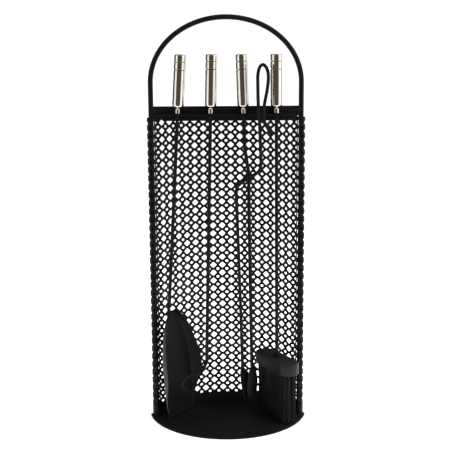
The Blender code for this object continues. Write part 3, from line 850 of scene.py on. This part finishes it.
hand_over(loop_arm, "tongs_wire_arm", powder_coat, "tongs_arm", ["tongs_loop_arm"])

# %% Rivet and washer
washer_back = pivot - LOOP_R - 0.3
washer = disc_on_pivot(5.0, washer_back - 1.0, washer_back)
settle(washer, PLACE["tongs"])
hand_over(washer, "rivet_washer", powder_coat, "tongs", ["pivot_washer"])
head_back = washer_back - 1.3
rivet = join_pieces(disc_on_pivot(4.2, head_back - 1.2, head_back, dome=1.1),
                    disc_on_pivot(2.0, head_back, ROD_R + 0.6),
                    disc_on_pivot(3.8, ROD_R + 0.3, ROD_R + 1.9))
settle(rivet, PLACE["tongs"])
hand_over(rivet, "domed_rivet", powder_coat, "tongs", ["pivot_rivet"])

# %% [markdown]
# Each jaw is a small oval spoon, hollow on the side that faces the other. A grid is shaped to
# the oval and cupped, given its thickness, and subdivided so that its edge rounds off.


# %% Jaws
SPOON_WIDEST, SPOON_REACH = 0.55, 0.56   # where along its length the oval is widest, and its half length
SPOON_BLUNT, SPOON_CUP = 0.09, 0.22


def spoon(side, x_top, x_middle, x_bottom, depth):
    across = Vector((math.sin(JAW_TWIST), math.cos(JAW_TWIST), 0))
    outward = Vector((math.cos(JAW_TWIST), -math.sin(JAW_TWIST), 0)) * side
    clear_bench()
    bpy.ops.mesh.primitive_grid_add(x_subdivisions=8, y_subdivisions=16, size=2)
    obj = bpy.context.object
    for vertex in obj.data.vertices:
        a, t = vertex.co.x, (1 - vertex.co.y) / 2
        middle = x_top * (1 - t) * (1 - 2 * t) + x_middle * 4 * t * (1 - t) + x_bottom * t * (2 * t - 1)
        half = JAW_HALF * math.sqrt(max(1 - ((t - SPOON_WIDEST) / SPOON_REACH) ** 2, SPOON_BLUNT))
        centre = Vector((middle, depth, JAW_TOP - JAW_H * t))
        vertex.co = (centre + across * half * a + outward * (1 - a * a) * half * SPOON_CUP) * MM
    apply_modifier(obj, "SOLIDIFY", thickness=JAW_T * MM, offset=0, use_even_offset=True)
    apply_modifier(obj, "SUBSURF", levels=1, render_levels=1)
    tidy_faces(obj)
    settle(obj, PLACE["tongs"])
    return obj


hand_over(spoon(1, -1.2, -1.5, -4, -1), "tongs_grip_spoon", powder_coat, "tongs",
          ["tongs_fixed_jaw"], 60)
hand_over(spoon(-1, -16.4, -10.5, -9.6, -1.5), "tongs_wire_spoon", powder_coat, "tongs_arm",
          ["tongs_loop_jaw"], 60)

# %% [markdown]
# ## Brush
# A rod is screwed into a moulded block with round ends, with a nut on top. The block starts as
# a circle whose two halves are pulled apart, and its edges are rounded as a mould leaves them.

# %% Rod, nut and block
BLOCK_TOP, BLOCK_H = -392.6, 19.0
BLOCK_HALF = (50.0, 17.0)
BRISTLE_HALF = (41.0, 14.0)
BLOCK_YAW = Matrix.Rotation(math.radians(-60), 4, "Z")
rod = bend_bar([(0, 0, ROD_TOP), (0, 0, BLOCK_TOP - 11.5)], ROD_R)
settle(rod, PLACE["brush"])
hand_over(rod, "brush_shaft", powder_coat, "brush", ["brush_rod"])
nut = softened_copy("brush_nut", 0.5)
hand_over(nut, "brush_lock_nut", powder_coat, "brush", ["brush_nut"])


def stadium_block(half_length, half_width, low, high, edge):
    """A block with round ends: a circle, cut in half and pulled apart, then extruded."""
    clear_bench()
    bpy.ops.mesh.primitive_circle_add(vertices=64, radius=half_width * MM, fill_type="NGON",
                                      location=(0, 0, low * MM), rotation=(0, 0, math.pi / 64))
    obj = bpy.context.object
    bpy.ops.object.transform_apply(location=True, rotation=True)
    for vertex in obj.data.vertices:
        vertex.co.x += math.copysign((half_length - half_width) * MM, vertex.co.x)
    bpy.ops.object.mode_set(mode="EDIT")
    bpy.ops.mesh.select_all(action="SELECT")
    bpy.ops.mesh.extrude_region_move(TRANSFORM_OT_translate={"value": (0, 0, (high - low) * MM)})
    bpy.ops.object.mode_set(mode="OBJECT")
    tidy_faces(obj)
    apply_modifier(obj, "BEVEL", width=edge * MM, segments=4, limit_method="ANGLE",
                   angle_limit=math.radians(50))
    return obj


block = stadium_block(*BLOCK_HALF, BLOCK_TOP - BLOCK_H, BLOCK_TOP, 1.2)
settle(block, PLACE["brush"] @ BLOCK_YAW)
hand_over(block, "moulded_block", moulded_black, "brush", ["brush_block"])

# %% [markdown]
# Bristles are set in the block in tufts, and they splay towards their ends. One strand is modelled
# with a few faces and copied to every place, each copy with its own splay, length and slight bow.
# A tapered core fills the middle of the brush, where the strands stand too close to be seen.

# %% One strand
random.seed(7)
BRISTLE_TOP = BLOCK_TOP - BLOCK_H
BRISTLE_LOW = -491.0
STRAND_R = 0.62
clear_bench()
bpy.ops.mesh.primitive_cone_add(vertices=5, radius1=0.6, radius2=1.0, depth=1.0, location=(0, 0, 0.5))
strand = bpy.context.object
bpy.ops.object.transform_apply(location=True)
bpy.ops.object.mode_set(mode="EDIT")
for cut in (0.25, 0.5, 0.75):
    bpy.ops.mesh.select_all(action="SELECT")
    bpy.ops.mesh.bisect(plane_co=(0, 0, cut), plane_no=(0, 0, 1))
bpy.ops.object.mode_set(mode="OBJECT")
strand_points = np.array([v.co for v in strand.data.vertices])
strand_faces = [tuple(p.vertices) for p in strand.data.polygons]
bpy.data.objects.remove(strand)
print("one strand:", len(strand_faces), "faces")

# %% Plant the strands
TUFT_STEP = 4.6
STRANDS_IN_TUFT = 11
ROOT_SPREAD, TIP_SPREAD, MOST_BOW = 1.0, 1.6, 1.2
SPLAY = (1.04, 1.10)
all_points, all_faces = [], []


def plant(x, y, top, low, splay_x, splay_y):
    """Add one strand from its root to its splayed end, with a slight bow."""
    start = len(all_points) * len(strand_points)
    tip = Vector((x * splay_x + random.uniform(-TIP_SPREAD, TIP_SPREAD),
                  y * splay_y + random.uniform(-TIP_SPREAD, TIP_SPREAD)))
    bow = random.uniform(-MOST_BOW, MOST_BOW)
    shape = strand_points.copy()
    share = 1 - shape[:, 2]
    size = STRAND_R * random.uniform(0.8, 1.15)
    curve = share ** 1.5
    shape[:, 0] = shape[:, 0] * size + x + (tip.x - x) * curve + bow * np.sin(math.pi * share)
    shape[:, 1] = shape[:, 1] * size + y + (tip.y - y) * curve + bow * np.sin(math.pi * share) * 0.6
    shape[:, 2] = top + (low - top) * share
    all_points.append(shape)
    all_faces.extend(tuple(k + start for k in f) for f in strand_faces)


straight = BRISTLE_HALF[0] - BRISTLE_HALF[1]
for i in range(-9, 10):
    for j in range(-3, 4):
        x = i * TUFT_STEP + (TUFT_STEP / 2 if j % 2 else 0)
        y = j * TUFT_STEP
        over = max(abs(x) - straight, 0)
        if math.hypot(over, y) > BRISTLE_HALF[1] - 0.4:
            continue
        for _ in range(STRANDS_IN_TUFT):
            low = BRISTLE_LOW + random.uniform(0, 1.0) ** 2 * 5
            plant(x + random.gauss(0, ROOT_SPREAD), y + random.gauss(0, ROOT_SPREAD), BRISTLE_TOP, low,
                  *SPLAY)
mesh = bpy.data.meshes.new("strands")
mesh.from_pydata((np.concatenate(all_points) * MM).tolist(), [], all_faces)
strands = bpy.data.objects.new("strands", mesh)
bpy.context.collection.objects.link(strands)
print("strands:", len(all_points))

# %% Core of the brush
core = stadium_block(BRISTLE_HALF[0] - 3, BRISTLE_HALF[1] - 3, BRISTLE_LOW + 7, BRISTLE_TOP + 0.2, 1.0)
for vertex in core.data.vertices:
    share = (BRISTLE_TOP * MM - vertex.co.z) / ((BRISTLE_TOP - BRISTLE_LOW) * MM)
    vertex.co.x *= 1 + 0.03 * share
    vertex.co.y *= 1 + 0.08 * share
strands = join_pieces(strands, core)
settle(strands, PLACE["brush"] @ BLOCK_YAW)
hand_over(strands, "bristle_tufts", bristle_black, "brush", ["brush_bristles"], 60)
